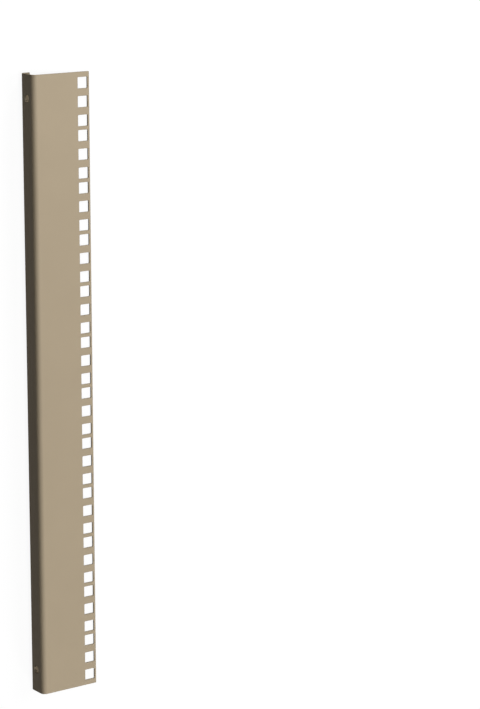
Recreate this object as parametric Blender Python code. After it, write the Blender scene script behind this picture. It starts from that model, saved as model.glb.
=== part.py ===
"""Rack mounting rail, 12 rack units long, folded from one strip of steel sheet.

The section is a wide front face, a flange folded straight back along its outer edge and a narrow lip
folded in behind the face. A column of square holes for cage nuts runs down the free edge of the face,
at the standard spacing of 19 inch racks, and a round hole near each end of the flange takes the screw
that fixes the rail to a cabinet. All sizes are in metres.

In the rail's own frame X runs across the face from the flange to the free edge, Y runs up the rail and
Z comes out of the face. The rail lies face up on the floor, on its free edge and the end of its lip.
"""

import math

import bmesh
import bpy
from mathutils import Matrix, Vector

# Standard spacing of 19 inch racks: in a unit of 1.75 inches the holes sit 1/4, 7/8 and 1 1/2 inches down
UNIT_HEIGHT = 0.04445
HOLE_DROPS_IN_UNIT = (1 / 7, 1 / 2, 6 / 7)

# Length
UNITS = 12
END_MARGIN = 0.00285

# Folded section, over the outside of the sheet
SHEET = 0.0015
INNER_BEND = 0.003
FACE_WIDTH = 0.0548
FLANGE_DEPTH = 0.021
LIP_WIDTH = 0.009

# Square holes, from their centres to the free edge of the face
SQUARE_HOLE = 0.0095
SQUARE_HOLE_CORNER = 0.0006
HOLE_FROM_EDGE = 0.0065

# Round fixing holes, midway across the flange
FIXING_HOLE = 0.0065
FIXING_FROM_END = 0.0203

# Roundness of the facets
BEND_STEPS = 6
CORNER_STEPS = 2
FIXING_SIDES = 24
CUT_PAST = 0.003

# Finish
PAINT_COLOUR = (0.42, 0.36, 0.25, 1.0)
PAINT_ROUGHNESS = 0.5

LENGTH = UNITS * UNIT_HEIGHT + 2 * END_MARGIN
OUTER_BEND = INNER_BEND + SHEET
LYING_TILT = math.atan2(FLANGE_DEPTH - SHEET, FACE_WIDTH - LIP_WIDTH)
QUARTER = math.pi / 2


def clear_scene():
    for obj in list(bpy.data.objects):
        bpy.data.objects.remove(obj)


def arc(centre, radius, start, sweep, steps):
    """Points of a circular arc in a plane, both ends included."""
    turns = [start + sweep * step / steps for step in range(steps + 1)]
    return [(centre[0] + radius * math.cos(turn), centre[1] + radius * math.sin(turn)) for turn in turns]


def section_outline():
    """Closed outline of the folded sheet in X and Z.

    It runs along the outside from the face's free edge to the lip's end, through two outer bends, and
    back along the inside through two inner bends about the same centres.
    """
    face_bend = (OUTER_BEND, -OUTER_BEND)
    lip_bend = (OUTER_BEND, OUTER_BEND - FLANGE_DEPTH)
    outside = [(FACE_WIDTH, 0.0)]
    outside += arc(face_bend, OUTER_BEND, QUARTER, QUARTER, BEND_STEPS)
    outside += arc(lip_bend, OUTER_BEND, math.pi, QUARTER, BEND_STEPS)
    outside += [(LIP_WIDTH, -FLANGE_DEPTH)]
    inside = [(LIP_WIDTH, SHEET - FLANGE_DEPTH)]
    inside += arc(lip_bend, INNER_BEND, 3 * QUARTER, -QUARTER, BEND_STEPS)
    inside += arc(face_bend, INNER_BEND, math.pi, -QUARTER, BEND_STEPS)
    inside += [(FACE_WIDTH, -SHEET)]
    return outside + inside


def rounded_square(side, corner):
    """Outline of a square with rounded corners about the origin, anticlockwise."""
    inset = side / 2 - corner
    outline = []
    for turn in range(4):
        start = turn * QUARTER
        centre = (inset * math.sqrt(2) * math.cos(start + QUARTER / 2),
                  inset * math.sqrt(2) * math.sin(start + QUARTER / 2))
        outline += arc(centre, corner, start, QUARTER, CORNER_STEPS)
    return outline


def circle(diameter, sides):
    return arc((0.0, 0.0), diameter / 2, 0.0, 2 * math.pi * (sides - 1) / sides, sides - 1)


def prism(bm, outline, base, sweep):
    """Adds a closed prism: the outline placed by the matrix base, extruded along the vector sweep."""
    corners = [bm.verts.new(base @ Vector((x, y, 0.0))) for x, y in outline]
    face = bm.faces.new(corners)
    swept = bmesh.ops.extrude_face_region(bm, geom=[face], use_keep_orig=True)
    ends = [item for item in swept["geom"] if isinstance(item, bmesh.types.BMVert)]
    bmesh.ops.translate(bm, verts=ends, vec=sweep)


def mesh_object(name, bm, parent):
    """Turns the bmesh into an object with its faces pointing out."""
    bmesh.ops.recalc_face_normals(bm, faces=bm.faces)
    mesh = bpy.data.meshes.new(name)
    bm.to_mesh(mesh)
    bm.free()
    obj = bpy.data.objects.new(name, mesh)
    obj.parent = parent
    bpy.context.scene.collection.objects.link(obj)
    return obj


def painted_steel():
    """Satin stone-beige powder coat over the steel."""
    material = bpy.data.materials.new("painted_steel")
    material.use_nodes = True
    shader = material.node_tree.nodes["Principled BSDF"]
    shader.inputs["Base Color"].default_value = PAINT_COLOUR
    shader.inputs["Roughness"].default_value = PAINT_ROUGHNESS
    shader.inputs["Metallic"].default_value = 0.0
    return material


def lying_place():
    """Empty that lays the rail on the floor, with the middle of its footprint at the origin."""
    tilt = Matrix.Rotation(LYING_TILT, 4, "Y")
    corners = [tilt @ Vector((x, 0.0, z)) for x, z in section_outline()]
    across = [corner.x for corner in corners]
    place = bpy.data.objects.new("rail_lying", None)
    place.location = (-(min(across) + max(across)) / 2, 0.0, -min(corner.z for corner in corners))
    place.rotation_euler = (0.0, LYING_TILT, 0.0)
    bpy.context.scene.collection.objects.link(place)
    return place


def folded_strip(place):
    """The folded sheet without its holes: the section extruded over the length."""
    to_section = Matrix.Translation((0.0, LENGTH / 2, 0.0)) @ Matrix.Rotation(QUARTER, 4, "X")
    bm = bmesh.new()
    prism(bm, section_outline(), to_section, Vector((0.0, -LENGTH, 0.0)))
    rail = mesh_object("mounting_rail", bm, place)
    rail.data.materials.append(painted_steel())
    rail.data.shade_smooth()
    rail.data.set_sharp_from_angle(angle=math.radians(30))
    return rail


def square_hole_cutter(place):
    """One unit's square punches below the top unit line, repeated down the rail by an Array."""
    outline = rounded_square(SQUARE_HOLE, SQUARE_HOLE_CORNER)
    column = FACE_WIDTH - HOLE_FROM_EDGE
    top_line = UNITS * UNIT_HEIGHT / 2
    bm = bmesh.new()
    for drop in HOLE_DROPS_IN_UNIT:
        base = Matrix.Translation((column, top_line - drop * UNIT_HEIGHT, -SHEET - CUT_PAST))
        prism(bm, outline, base, Vector((0.0, 0.0, SHEET + 2 * CUT_PAST)))
    cutter = mesh_object("square_hole_cutter", bm, place)
    down = cutter.modifiers.new("units", "ARRAY")
    down.count = UNITS
    down.use_relative_offset = False
    down.use_constant_offset = True
    down.constant_offset_displace = (0.0, -UNIT_HEIGHT, 0.0)
    return cutter


def fixing_hole_cutter(place):
    """A drill through the middle of the flange near each end of the rail."""
    outline = circle(FIXING_HOLE, FIXING_SIDES)
    from_middle = LENGTH / 2 - FIXING_FROM_END
    bm = bmesh.new()
    for height in (from_middle, -from_middle):
        at_flange = Matrix.Translation((-CUT_PAST, height, -FLANGE_DEPTH / 2))
        base = at_flange @ Matrix.Rotation(QUARTER, 4, "Y")
        prism(bm, outline, base, Vector((SHEET + 2 * CUT_PAST, 0.0, 0.0)))
    return mesh_object("fixing_hole_cutter", bm, place)


def cut(rail, cutter):
    cutter.hide_render = True
    cutter.display_type = "WIRE"
    boolean = rail.modifiers.new(cutter.name, "BOOLEAN")
    boolean.operation = "DIFFERENCE"
    boolean.solver = "EXACT"
    boolean.object = cutter


clear_scene()
lying = lying_place()
mounting_rail = folded_strip(lying)
cut(mounting_rail, square_hole_cutter(lying))
cut(mounting_rail, fixing_hole_cutter(lying))
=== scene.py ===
import math

import bmesh
import bpy
import numpy as np
from mathutils import Euler, Matrix, Vector


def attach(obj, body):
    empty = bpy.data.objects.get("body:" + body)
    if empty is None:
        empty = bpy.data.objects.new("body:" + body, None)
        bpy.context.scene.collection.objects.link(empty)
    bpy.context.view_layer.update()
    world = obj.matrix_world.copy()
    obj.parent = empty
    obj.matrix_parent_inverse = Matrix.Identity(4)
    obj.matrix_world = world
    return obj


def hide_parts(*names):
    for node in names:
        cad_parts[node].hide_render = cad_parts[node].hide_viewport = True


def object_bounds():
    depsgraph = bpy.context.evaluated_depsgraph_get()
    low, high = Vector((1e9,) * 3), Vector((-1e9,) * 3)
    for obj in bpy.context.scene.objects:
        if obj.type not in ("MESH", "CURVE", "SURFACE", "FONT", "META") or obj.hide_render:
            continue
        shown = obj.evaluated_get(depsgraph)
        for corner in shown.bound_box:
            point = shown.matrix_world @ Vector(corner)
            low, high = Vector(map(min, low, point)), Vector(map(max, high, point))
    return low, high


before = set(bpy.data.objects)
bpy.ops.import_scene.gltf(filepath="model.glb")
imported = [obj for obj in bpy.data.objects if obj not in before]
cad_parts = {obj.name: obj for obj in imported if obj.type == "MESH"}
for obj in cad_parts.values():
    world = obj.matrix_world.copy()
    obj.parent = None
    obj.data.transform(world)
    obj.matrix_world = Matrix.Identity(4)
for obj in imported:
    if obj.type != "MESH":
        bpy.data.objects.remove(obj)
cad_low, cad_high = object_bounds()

# The punched and folded strip.
# The real rail is one strip of 1.5 mm steel sheet, punched with its square and round holes while it is
# flat and then folded on a press brake. The mesh is made the same way. All sizes are in metres.
FACE_WIDTH = 0.0548
FLANGE_DEPTH = 0.021
LIP_WIDTH = 0.009
SHEET = 0.0015
INNER_BEND = 0.003
LENGTH = cad_high.y - cad_low.y

UNIT_HEIGHT = 0.04445
UNITS = 12
HOLE_DROPS_IN_UNIT = np.array([1 / 7, 1 / 2, 6 / 7])
SQUARE_HOLE = 0.0095
SQUARE_HOLE_CORNER = 0.0006
HOLE_FROM_EDGE = 0.0065
FIXING_HOLE = 0.0065
FIXING_FROM_END = 0.0203

OUTER_BEND = INNER_BEND + SHEET
FACE_RUN = FACE_WIDTH - OUTER_BEND
BEND_RUN = math.pi / 2 * (INNER_BEND + SHEET / 2)
FLANGE_RUN = FLANGE_DEPTH - 2 * OUTER_BEND
LIP_RUN = LIP_WIDTH - OUTER_BEND
FLANGE_START = FACE_RUN + BEND_RUN
FLANGE_END = FLANGE_START + FLANGE_RUN
STRIP_WIDTH = FLANGE_END + BEND_RUN + LIP_RUN

# Rounding that punching and coating leave on every cut edge, and on the strip's own corners
EDGE_RADIUS = 0.00022
STRIP_CORNER = 0.0004
# Width beside each cut edge over which the coat's edge finish fades out
EDGE_BAND = 0.00075

# Grid steps in each arc and run, and the side of the patch of the grid round each fixing hole
EDGE_STEPS = 4
CORNER_STEPS = 4
HALF_SIDE_STEPS = 3
BEND_STEPS = 12
FACE_STEPS = 6
FIXING_STEPS = 8
LIP_STEPS = 3
FIXING_PATCH = 0.010
# Points closer than this are merged, and grid lines are told apart by this many decimals of a metre
MERGE_DISTANCE = 1e-6
LINE_DECIMALS = 9


class FlatStrip:
    """Grids of points on the flat strip, each with its exact normal and its share of edge finish.

    A point is given by its place across the strip from the face's free edge, its place along the rail,
    and its depth through the sheet from the outer skin.
    """

    def __init__(self):
        self.places, self.normals, self.edges, self.quads = [], [], [], []
        self.count = 0

    def grid(self, across, along, depth, normal, edge):
        """Adds one grid of quads. All values spread over the grid's rows and columns."""
        across, along, depth, edge, *normal = np.broadcast_arrays(across, along, depth, edge, *normal)
        self.places.append(np.stack([across, along, depth], -1).reshape(-1, 3))
        self.normals.append(np.stack(normal, -1).reshape(-1, 3))
        self.edges.append(edge.ravel())
        index = np.arange(across.size).reshape(across.shape) + self.count
        corners = (index[:-1, :-1], index[1:, :-1], index[1:, 1:], index[:-1, 1:])
        self.quads.append(np.stack([corner.ravel() for corner in corners], -1))
        self.count += across.size

    def skins(self, across, along, edge):
        """Adds the same grid on the outer and on the inner skin of the sheet."""
        self.grid(across, along, 0.0, (0.0, 0.0, -1.0), edge)
        self.grid(across, along, SHEET, (0.0, 0.0, 1.0), edge)

    def cut(self, outline, out):
        """Adds the wall of a cut along an outline, whose unit vectors out point away from the material.

        The wall's profile is a quarter circle of EDGE_RADIUS from the outer skin, a straight wall, and
        a quarter circle to the inner skin, and it is carried along the outline.
        """
        turn = np.linspace(0, math.pi / 2, EDGE_STEPS + 1)
        sine = np.append(np.sin(turn), np.sin(turn[::-1]))
        cosine = np.append(-np.cos(turn), np.cos(turn[::-1]))
        drop = EDGE_RADIUS * (1 - np.cos(turn))
        depth = np.append(drop, SHEET - drop[::-1])
        across = outline[:, :1] - EDGE_RADIUS * (1 - sine) * out[:, :1]
        along = outline[:, 1:] - EDGE_RADIUS * (1 - sine) * out[:, 1:]
        self.grid(across, along, depth, (sine * out[:, :1], sine * out[:, 1:], cosine), 1.0)

    def collar(self, outline, out, rim):
        """Adds a cut, and both skins from its edge through the edge band to a rim with as many points."""
        self.cut(outline, out)
        rings = np.stack([outline - EDGE_RADIUS * out, outline - EDGE_BAND * out, rim])
        self.skins(rings[..., 0], rings[..., 1], np.array([[1.0], [0.0], [0.0]]))


def fold(places, normals):
    """Folds points and normals of the flat strip into the rail's section.

    Each bend turns the strip by a quarter over BEND_RUN. A point's angle is its share of the bends, and
    it lies inside the outer skin, which follows circles of OUTER_BEND there, by its depth. X runs from
    the flange to the face's free edge, Y up the rail and Z out of the face.
    """
    across, along, depth = places.T
    first = math.pi / 2 * np.clip((across - FACE_RUN) / BEND_RUN, 0, 1)
    second = math.pi / 2 * np.clip((across - FLANGE_END) / BEND_RUN, 0, 1)
    face = np.minimum(across, FACE_RUN)
    flange = np.clip(across - FLANGE_START, 0, FLANGE_RUN)
    lip = np.maximum(across - FLANGE_END - BEND_RUN, 0)
    skin_x = FACE_WIDTH - face - OUTER_BEND * np.sin(first) + OUTER_BEND * (1 - np.cos(second)) + lip
    skin_z = -OUTER_BEND * (1 - np.cos(first)) - flange - OUTER_BEND * np.sin(second)
    sine, cosine = np.sin(first + second), np.cos(first + second)
    folded = np.stack([skin_x + depth * sine, along, skin_z - depth * cosine], -1)
    side, length, through = normals.T
    turned = np.stack([through * sine - side * cosine, length, -through * cosine - side * sine], -1)
    return folded, turned


def in_pairs(*loops):
    """Each loop of complex numbers as rows of their real and imaginary parts."""
    return [np.stack([loop.real, loop.imag], -1) for loop in loops]


def square_hole():
    """Closed outline of a punched square with rounded corners, and its unit vectors into the hole.

    A quarter is half a side, a corner arc and half a side, and it is turned three times.
    """
    straight = SQUARE_HOLE / 2 - SQUARE_HOLE_CORNER
    run = np.linspace(0, straight, HALF_SIDE_STEPS + 1)
    turn = np.linspace(0, math.pi / 2, CORNER_STEPS + 1)
    side = np.full(HALF_SIDE_STEPS, SQUARE_HOLE / 2)
    arc = straight + SQUARE_HOLE_CORNER * np.exp(1j * turn) + 1j * straight
    quarter = np.concatenate([side + 1j * run[:-1], arc, run[-2:0:-1] + 1j * side[1:]])
    facing = np.concatenate([np.zeros(HALF_SIDE_STEPS), turn, np.full(HALF_SIDE_STEPS - 1, math.pi / 2)])
    quarters = 1j ** np.arange(4)[:, None]
    outline = (quarters * quarter).ravel()
    out = -(quarters * np.exp(1j * facing)).ravel()
    return in_pairs(*(np.append(loop, loop[0]) for loop in (outline, out)))


def edge_of_strip(across_lines, along_lines):
    """Closed outline of the whole strip, its outward unit vectors, and the grid's rim inside it.

    Each side carries the points of the grid's lines, and an arc of STRIP_CORNER with one rim point
    turns each corner.
    """
    turn = np.linspace(0, math.pi / 2, CORNER_STEPS + 1)
    right = across_lines[-1] + 1j * along_lines
    top = across_lines[::-1] + 1j * along_lines[-1]
    left = across_lines[0] + 1j * along_lines[::-1]
    bottom = across_lines + 1j * along_lines[0]
    outline, out, rim = [], [], []
    for side, facing in zip((right, top, left, bottom), 1j ** np.arange(4)):
        centre = side[-1] + (EDGE_BAND - STRIP_CORNER) * facing * (1 + 1j)
        fan = facing * np.exp(1j * turn)
        outline += [side + EDGE_BAND * facing, centre + STRIP_CORNER * fan]
        out += [np.full(side.shape, facing), fan]
        rim += [side, np.full(fan.shape, side[-1])]
    return in_pairs(*(np.concatenate(loop + [loop[0][:1]]) for loop in (outline, out, rim)))


def lie_down(folded):
    """Tilt and shift that lay the rail face up on its free edge and the end of its lip.

    The middle of its footprint comes to the origin, and its lowest points to the floor.
    """
    tilt = Matrix.Rotation(math.atan2(FLANGE_DEPTH - SHEET, FACE_WIDTH - LIP_WIDTH), 3, "Y")
    turn = np.array(tilt)
    tilted = folded @ turn.T
    low, high = tilted.min(0), tilted.max(0)
    return turn, -np.array([(low[0] + high[0]) / 2, (low[1] + high[1]) / 2, low[2]])


def sew(name, strip):
    """Merges the strip's grids into one closed, folded mesh where it lies, with their exact normals."""
    flat = np.concatenate(strip.places)
    folded, normals = fold(flat, np.concatenate(strip.normals))
    turn, shift = lie_down(folded)
    quads = np.concatenate(strip.quads)
    diagonals = folded[quads[:, 2:]] - folded[quads[:, :2]]
    facing = (np.cross(diagonals[:, 0], diagonals[:, 1]) * normals[quads].sum(1)).sum(1)
    quads[facing < 0] = quads[facing < 0, ::-1]
    mesh = bpy.data.meshes.new(name)
    mesh.from_pydata(folded @ turn.T + shift, [], quads.tolist())
    layers = {"blank": ("FLOAT_VECTOR", "vector", flat),
              "facing": ("FLOAT_VECTOR", "vector", normals @ turn.T),
              "cut_edge": ("FLOAT", "value", np.concatenate(strip.edges))}
    for layer, (kind, field, values) in layers.items():
        mesh.attributes.new(layer, kind, "POINT").data.foreach_set(field, values.ravel())
    sheet = bmesh.new()
    sheet.from_mesh(mesh)
    bmesh.ops.remove_doubles(sheet, verts=sheet.verts, dist=MERGE_DISTANCE)
    sheet.to_mesh(mesh)
    sheet.free()
    exact = np.empty(3 * len(mesh.vertices))
    mesh.attributes["facing"].data.foreach_get("vector", exact)
    mesh.attributes.remove(mesh.attributes["facing"])
    mesh.shade_smooth()
    mesh.normals_split_custom_set_from_vertices(exact.reshape(-1, 3).tolist())
    piece = bpy.data.objects.new(name, mesh)
    bpy.context.scene.collection.objects.link(piece)
    return piece


strip = FlatStrip()

# Every square hole sits in a cell that reaches halfway to its neighbours
hole, into_hole = square_hole()
cell_share = hole / np.abs(hole).max(axis=1, keepdims=True)
top_line = UNITS * UNIT_HEIGHT / 2
hole_heights = (top_line - UNIT_HEIGHT * (np.arange(UNITS)[:, None] + HOLE_DROPS_IN_UNIT)).ravel()
band_end = LENGTH / 2 - EDGE_BAND
cell_lines = np.concatenate([[band_end], (hole_heights[:-1] + hole_heights[1:]) / 2, [-band_end]])
side_share = np.unique(cell_share[cell_share[:, 0] == 1, 1])
along_lines = []
for height, cell_top, cell_bottom in zip(hole_heights, cell_lines[:-1], cell_lines[1:]):
    up, down = cell_top - height, height - cell_bottom
    reach = np.where(cell_share > 0, (HOLE_FROM_EDGE, up), (HOLE_FROM_EDGE - EDGE_BAND, down))
    centre = np.array([HOLE_FROM_EDGE, height])
    strip.collar(centre + hole, into_hole, centre + cell_share * reach)
    along_lines.append(height + side_share * np.where(side_share > 0, up, down))
along_lines = np.unique(np.concatenate(along_lines).round(LINE_DECIMALS))
hole_reach = np.where(side_share > 0, HOLE_FROM_EDGE, HOLE_FROM_EDGE - EDGE_BAND)
hole_lines = HOLE_FROM_EDGE + side_share * hole_reach

# The rest of the strip is a plain grid, close in the bends and round the fixing holes
patch_start = (FLANGE_START + FLANGE_END - FIXING_PATCH) / 2
patch_end = patch_start + FIXING_PATCH
before_patch = np.concatenate([np.linspace(2 * HOLE_FROM_EDGE, FACE_RUN, FACE_STEPS + 1),
                               np.linspace(FACE_RUN, FLANGE_START, BEND_STEPS + 1)[1:], [patch_start]])
in_patch = np.linspace(patch_start, patch_end, FIXING_STEPS + 1)
after_patch = np.concatenate([[patch_end], np.linspace(FLANGE_END, FLANGE_END + BEND_RUN, BEND_STEPS + 1),
                              np.linspace(FLANGE_END + BEND_RUN, STRIP_WIDTH - EDGE_BAND, LIP_STEPS + 1)[1:]])
strip.skins(before_patch[:, None], along_lines, 0.0)
strip.skins(after_patch[:, None], along_lines, 0.0)

# Each fixing hole sits in a patch of the grid whose rim points give the directions of its outline
fixing_heights = np.array([FIXING_FROM_END - LENGTH / 2, LENGTH / 2 - FIXING_FROM_END])
patch_ends = np.stack([fixing_heights - FIXING_PATCH / 2, fixing_heights + FIXING_PATCH / 2], -1)
patch_lines = np.abs(along_lines - patch_ends.ravel()[:, None]).argmin(1)
for first, last in np.concatenate([[0], patch_lines, [len(along_lines) - 1]]).reshape(-1, 2):
    strip.skins(in_patch[:, None], along_lines[first:last + 1], 0.0)
for height, first, last in zip(fixing_heights, patch_lines[::2], patch_lines[1::2]):
    lines = along_lines[first:last + 1]
    rim = np.concatenate([patch_end + 1j * lines, in_patch[-2::-1] + 1j * lines[-1],
                          patch_start + 1j * lines[-2::-1], in_patch[1:] + 1j * lines[0]])
    centre = (patch_start + patch_end) / 2 + 1j * height
    ray = (rim - centre) / np.abs(rim - centre)
    strip.collar(*in_pairs(centre + FIXING_HOLE / 2 * ray, -ray, rim))

# The strip's own edge closes the sheet all round
across_lines = np.concatenate([hole_lines, before_patch[1:], in_patch[1:], after_patch[1:]])
outline, out, rim = edge_of_strip(across_lines, along_lines)
strip.cut(outline, out)
rings = np.stack([outline - EDGE_RADIUS * out, rim])
strip.skins(rings[..., 0], rings[..., 1], np.array([[1.0], [0.0]]))

rail = sew("folded_rail", strip)
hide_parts("mounting_rail")
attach(rail, "root")


# Powder coat: its colour on the skins and, thinner, on the cut edges, and how far the colour wanders
COAT_COLOUR = (0.442, 0.360, 0.250, 1.0)
CUT_EDGE_COLOUR = (0.405, 0.335, 0.239, 1.0)
COLOUR_DRIFT, DRIFT_SIZE = 0.03, 0.036
COAT_SPECULAR = 0.16
COAT_ROUGHNESS = 0.52
CUT_EDGE_ROUGHNESS = 0.64
PEEL_ROUGHNESS = 0.05
# Sizes and heights of the coat's orange peel, its grain, the sheet's waves and the punch's drag lines
PEEL_SIZE, PEEL_HEIGHT = 0.0016, 0.000012
GRAIN_SIZE, GRAIN_HEIGHT = 0.0003, 0.000002
WAVE_SIZE, WAVE_HEIGHT = 0.070, 0.00015
DRAG_SIZE, DRAG_HEIGHT = 0.0002, 0.000008
DRAG_STRETCH = 0.08
# Faint lines that the shoulders of the die press into the outer skin on both sides of a bend
DIE_LINE_OFFSET = 0.0050
DIE_LINE_WIDTH = 0.0007
DIE_LINE_DEPTH = 0.000012
# Numbers of a colour Mix node's sockets: the share, the first and the second colour, and the result
MIX_INPUTS = (0, 6, 7)
MIX_RESULT = 2


def node(tree, kind, place, **values):
    """Adds a shader node at a place in its tree.

    Each value is a property of the node, or else a number or colour for the input of that name, with _
    for a space, or an output that feeds it.
    """
    added = tree.nodes.new("ShaderNode" + kind)
    added.location = place
    for name, value in values.items():
        if hasattr(added, name):
            setattr(added, name, value)
        else:
            feed(tree, added.inputs[name.replace("_", " ")], value)
    return added


def feed(tree, socket, value):
    """Links an output to a socket, or sets the socket's own value."""
    if isinstance(value, bpy.types.NodeSocket):
        tree.links.new(value, socket)
    else:
        socket.default_value = value


def maths(tree, operation, place, *terms):
    """Output of a Math node on its terms, each an output or a number."""
    added = node(tree, "Math", place, operation=operation)
    for socket, term in zip(added.inputs, terms):
        feed(tree, socket, term)
    return added.outputs[0]


def blend(tree, place, share, first, second, **kind):
    """Colour output of a Mix node that goes from the first colour to the second by a share."""
    mix = node(tree, "Mix", place, data_type="RGBA", **kind)
    for socket, value in zip(MIX_INPUTS, (share, first, second)):
        feed(tree, mix.inputs[socket], value)
    return mix.outputs[MIX_RESULT]


def relief(tree, place, coordinates, size, height):
    """Height in metres of noise about its middle, whose waves have about the given size."""
    noise = node(tree, "TexNoise", place, Vector=coordinates, Scale=1 / size, Detail=2.0)
    centred = maths(tree, "SUBTRACT", (place[0] + 200, place[1]), noise.outputs[0], 0.5)
    return maths(tree, "MULTIPLY", (place[0] + 400, place[1]), centred, 2 * height)


def powder_coat():
    """Satin stone-beige powder coat, with the marks of punching and folding showing through."""
    material = bpy.data.materials.new("powder_coat")
    material.use_nodes = True
    tree = material.node_tree
    shader = tree.nodes["Principled BSDF"]
    shader.inputs["Specular IOR Level"].default_value = COAT_SPECULAR
    spot = node(tree, "TexCoord", (-1900, 0)).outputs["Object"]
    blank = node(tree, "Attribute", (-1900, -600), attribute_name="blank").outputs["Vector"]
    cut_edge = node(tree, "Attribute", (-1900, 400), attribute_name="cut_edge").outputs["Fac"]

    # Colour: thinner on the cut edges, and drifting a little over the sheet
    drift = node(tree, "TexNoise", (-1300, 700), Vector=spot, Scale=1 / DRIFT_SIZE).outputs[0]
    drift = maths(tree, "MULTIPLY_ADD", (-1100, 700), drift, 2 * COLOUR_DRIFT, 1 - COLOUR_DRIFT)
    colour = blend(tree, (-1100, 500), cut_edge, COAT_COLOUR, CUT_EDGE_COLOUR)
    colour = blend(tree, (-900, 600), 1.0, colour, drift, blend_type="MULTIPLY")
    feed(tree, shader.inputs["Base Color"], colour)

    # Gloss: uneven with the orange peel, and duller on the cut edges
    peel = relief(tree, (-1500, 100), spot, PEEL_SIZE, PEEL_HEIGHT)
    duller = CUT_EDGE_ROUGHNESS - COAT_ROUGHNESS
    dull = maths(tree, "MULTIPLY_ADD", (-900, 300), cut_edge, duller, COAT_ROUGHNESS)
    dull = maths(tree, "MULTIPLY_ADD", (-700, 300), peel, PEEL_ROUGHNESS / PEEL_HEIGHT, dull)
    feed(tree, shader.inputs["Roughness"], dull)

    # Relief: orange peel, grain, the waves of the sheet, and the punch's drag lines down the cut walls
    grain = relief(tree, (-1500, -100), spot, GRAIN_SIZE, GRAIN_HEIGHT)
    waves = relief(tree, (-1500, -300), spot, WAVE_SIZE, WAVE_HEIGHT)
    down_wall = node(tree, "VectorMath", (-1700, -500), operation="MULTIPLY")
    for socket, value in zip(down_wall.inputs, (blank, (1.0, 1.0, DRAG_STRETCH))):
        feed(tree, socket, value)
    drag = relief(tree, (-1500, -500), down_wall.outputs[0], DRAG_SIZE, DRAG_HEIGHT)
    drag = maths(tree, "MULTIPLY", (-900, -500), drag, cut_edge)
    height = maths(tree, "ADD", (-700, -100), peel, grain)
    height = maths(tree, "ADD", (-500, -200), height, waves)
    height = maths(tree, "ADD", (-300, -300), height, drag)

    # The die's lines, on the outer skin alone
    across, _, depth = node(tree, "SeparateXYZ", (-1700, -900), Vector=blank).outputs
    outer = maths(tree, "LESS_THAN", (-1500, -1100), depth, SHEET / 2)
    for row, bend in enumerate((FACE_RUN + BEND_RUN / 2, FLANGE_END + BEND_RUN / 2)):
        level = -800 - 200 * row
        from_bend = maths(tree, "SUBTRACT", (-1500, level), across, bend)
        from_bend = maths(tree, "ABSOLUTE", (-1300, level), from_bend)
        from_line = maths(tree, "SUBTRACT", (-1100, level), from_bend, DIE_LINE_OFFSET)
        from_line = maths(tree, "ABSOLUTE", (-900, level), from_line)
        line = node(tree, "MapRange", (-700, level), interpolation_type="SMOOTHSTEP", Value=from_line,
                    From_Max=DIE_LINE_WIDTH, To_Min=-DIE_LINE_DEPTH, To_Max=0.0).outputs[0]
        height = maths(tree, "MULTIPLY_ADD", (-300 + 200 * row, level), line, outer, height)
    bump = node(tree, "Bump", (200, -300), Distance=1.0, Height=height)
    feed(tree, shader.inputs["Normal"], bump.outputs[0])
    shader.location = (400, 200)
    tree.nodes["Material Output"].location = (700, 200)
    return material


rail.data.materials.append(powder_coat())

# The floor and the room.
# A large pale studio floor, as white to the camera and in gloss as the photograph's background. It keeps
# the rail's soft shadow, and gives the rail only a little light back, as the room does.
FLOOR_REACH = 4.0
WHITE = (1.0, 1.0, 1.0, 1.0)
FLOOR_GLOW = (0.935, 0.935, 0.935, 1.0)
FLOOR_LIT = (0.10, 0.10, 0.10, 1.0)
FLOOR_BOUNCE = (0.050, 0.045, 0.040, 1.0)
ROOM_WHITE = 0.98
ROOM_AMBIENT = 0.005


def seen_rays(tree):
    """One for rays that show a thing as such: from the camera, and by gloss or glass."""
    rays = node(tree, "LightPath", (-900, 400)).outputs
    either = maths(tree, "MAXIMUM", (-700, 400), rays["Is Camera Ray"], rays["Is Glossy Ray"])
    return maths(tree, "MAXIMUM", (-500, 400), either, rays["Is Transmission Ray"])


def floor_paper():
    """White paper: it glows and is lit for seen rays, and is only lit, and darker, for the others."""
    material = bpy.data.materials.new("floor_paper")
    material.use_nodes = True
    tree = material.node_tree
    tree.nodes.clear()
    glow = node(tree, "Emission", (-500, 0), Color=FLOOR_GLOW)
    lit = node(tree, "BsdfDiffuse", (-500, -150), Color=FLOOR_LIT)
    shown = node(tree, "AddShader", (-250, -50))
    bounce = node(tree, "BsdfDiffuse", (-250, 150), Color=FLOOR_BOUNCE)
    either = node(tree, "MixShader", (0, 100), Fac=seen_rays(tree))
    node(tree, "OutputMaterial", (250, 100), Surface=either.outputs[0])
    joins = ((glow, shown, 0), (lit, shown, 1), (bounce, either, 1), (shown, either, 2))
    for shader, target, socket in joins:
        tree.links.new(shader.outputs[0], target.inputs[socket])
    return material


def studio_room():
    """A world that is white to seen rays and lights the rest with a faint even light."""
    world = bpy.data.worlds.new("studio_room")
    world.use_nodes = True
    tree = world.node_tree
    tree.nodes.clear()
    faint = node(tree, "Background", (-250, 150), Color=WHITE, Strength=ROOM_AMBIENT)
    white = node(tree, "Background", (-250, 0), Color=WHITE, Strength=ROOM_WHITE)
    either = node(tree, "MixShader", (0, 100), Fac=seen_rays(tree))
    node(tree, "OutputWorld", (250, 100), Surface=either.outputs[0])
    tree.links.new(faint.outputs[0], either.inputs[1])
    tree.links.new(white.outputs[0], either.inputs[2])
    return world


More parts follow.
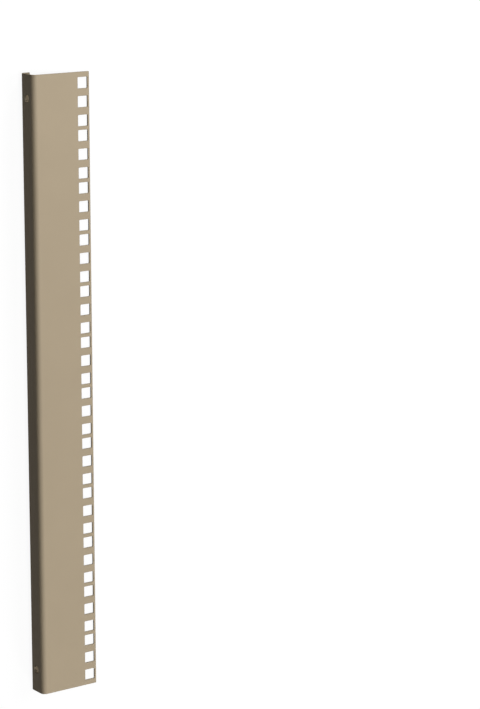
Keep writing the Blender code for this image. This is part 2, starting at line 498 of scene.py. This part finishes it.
side = np.array([-FLOOR_REACH, FLOOR_REACH])
corners = np.stack([np.repeat(side, 2), np.tile(side, 2), np.zeros(4)], -1)
floor_mesh = bpy.data.meshes.new("studio_floor")
floor_mesh.from_pydata(corners, [], [(0, 2, 3, 1)])
floor_mesh.materials.append(floor_paper())
floor = bpy.data.objects.new("studio_floor", floor_mesh)
bpy.context.scene.collection.objects.link(floor)
bpy.context.scene.world = studio_room()

# The lamps.
# The key beyond the rail's free edge and the lamp above the rail light the face and hardly reach the
# flange, which has a faint fill. A low lamp beyond each end shines into the channel and its fixing hole.
KEY_PLACE = (1.37, 0.45, 1.27)
KEY_SIZE = 0.9
KEY_POWER = 12.4
TOP_PLACE = (0.554, 0.05, 1.922)
TOP_POWER = 13.0
FILL_PLACE = (-0.33, 0.15, 2.10)
FILL_POWER = 1.6
UPPER_END_PLACE = (0.4, 1.2, 0.35)
UPPER_END_POWER = 6.5
LOWER_END_PLACE = (0.4, -1.2, 0.35)
LOWER_END_POWER = 5.5
SMALL_SIZE = 0.25


def soft_box(name, place, size, power):
    """A square area lamp at a place, turned to the origin."""
    light = bpy.data.lights.new(name, "AREA")
    light.size = size
    light.energy = power
    lamp = bpy.data.objects.new(name, light)
    lamp.location = place
    lamp.rotation_euler = (-Vector(place)).to_track_quat("-Z", "Y").to_euler()
    bpy.context.scene.collection.objects.link(lamp)


soft_box("key_soft_box", KEY_PLACE, KEY_SIZE, KEY_POWER)
soft_box("top_soft_box", TOP_PLACE, SMALL_SIZE, TOP_POWER)
soft_box("fill_soft_box", FILL_PLACE, SMALL_SIZE, FILL_POWER)
soft_box("upper_end_soft_box", UPPER_END_PLACE, SMALL_SIZE, UPPER_END_POWER)
soft_box("lower_end_soft_box", LOWER_END_PLACE, SMALL_SIZE, LOWER_END_POWER)

# The camera.
# It stands over the rail's upper left with a long lens and looks down on it at the photograph's angle,
# so that the rail has the place and size that it has there. Its turn is in degrees, its lens in mm.
CAMERA_PLACE = (-0.32884, 0.49784, 2.11087)
CAMERA_TURN = (-12.4467, -13.0007, 0.0402)
CAMERA_LENS = 129.5535
SENSOR = 36.0
view = bpy.data.cameras.new("photograph_view")
view.lens = CAMERA_LENS
view.sensor_width = SENSOR
camera = bpy.data.objects.new("photograph_view", view)
camera.location = CAMERA_PLACE
camera.rotation_euler = Euler([math.radians(turn) for turn in CAMERA_TURN])
bpy.context.scene.collection.objects.link(camera)
bpy.context.scene.camera = camera
bpy.context.scene.view_settings.view_transform = "Standard"
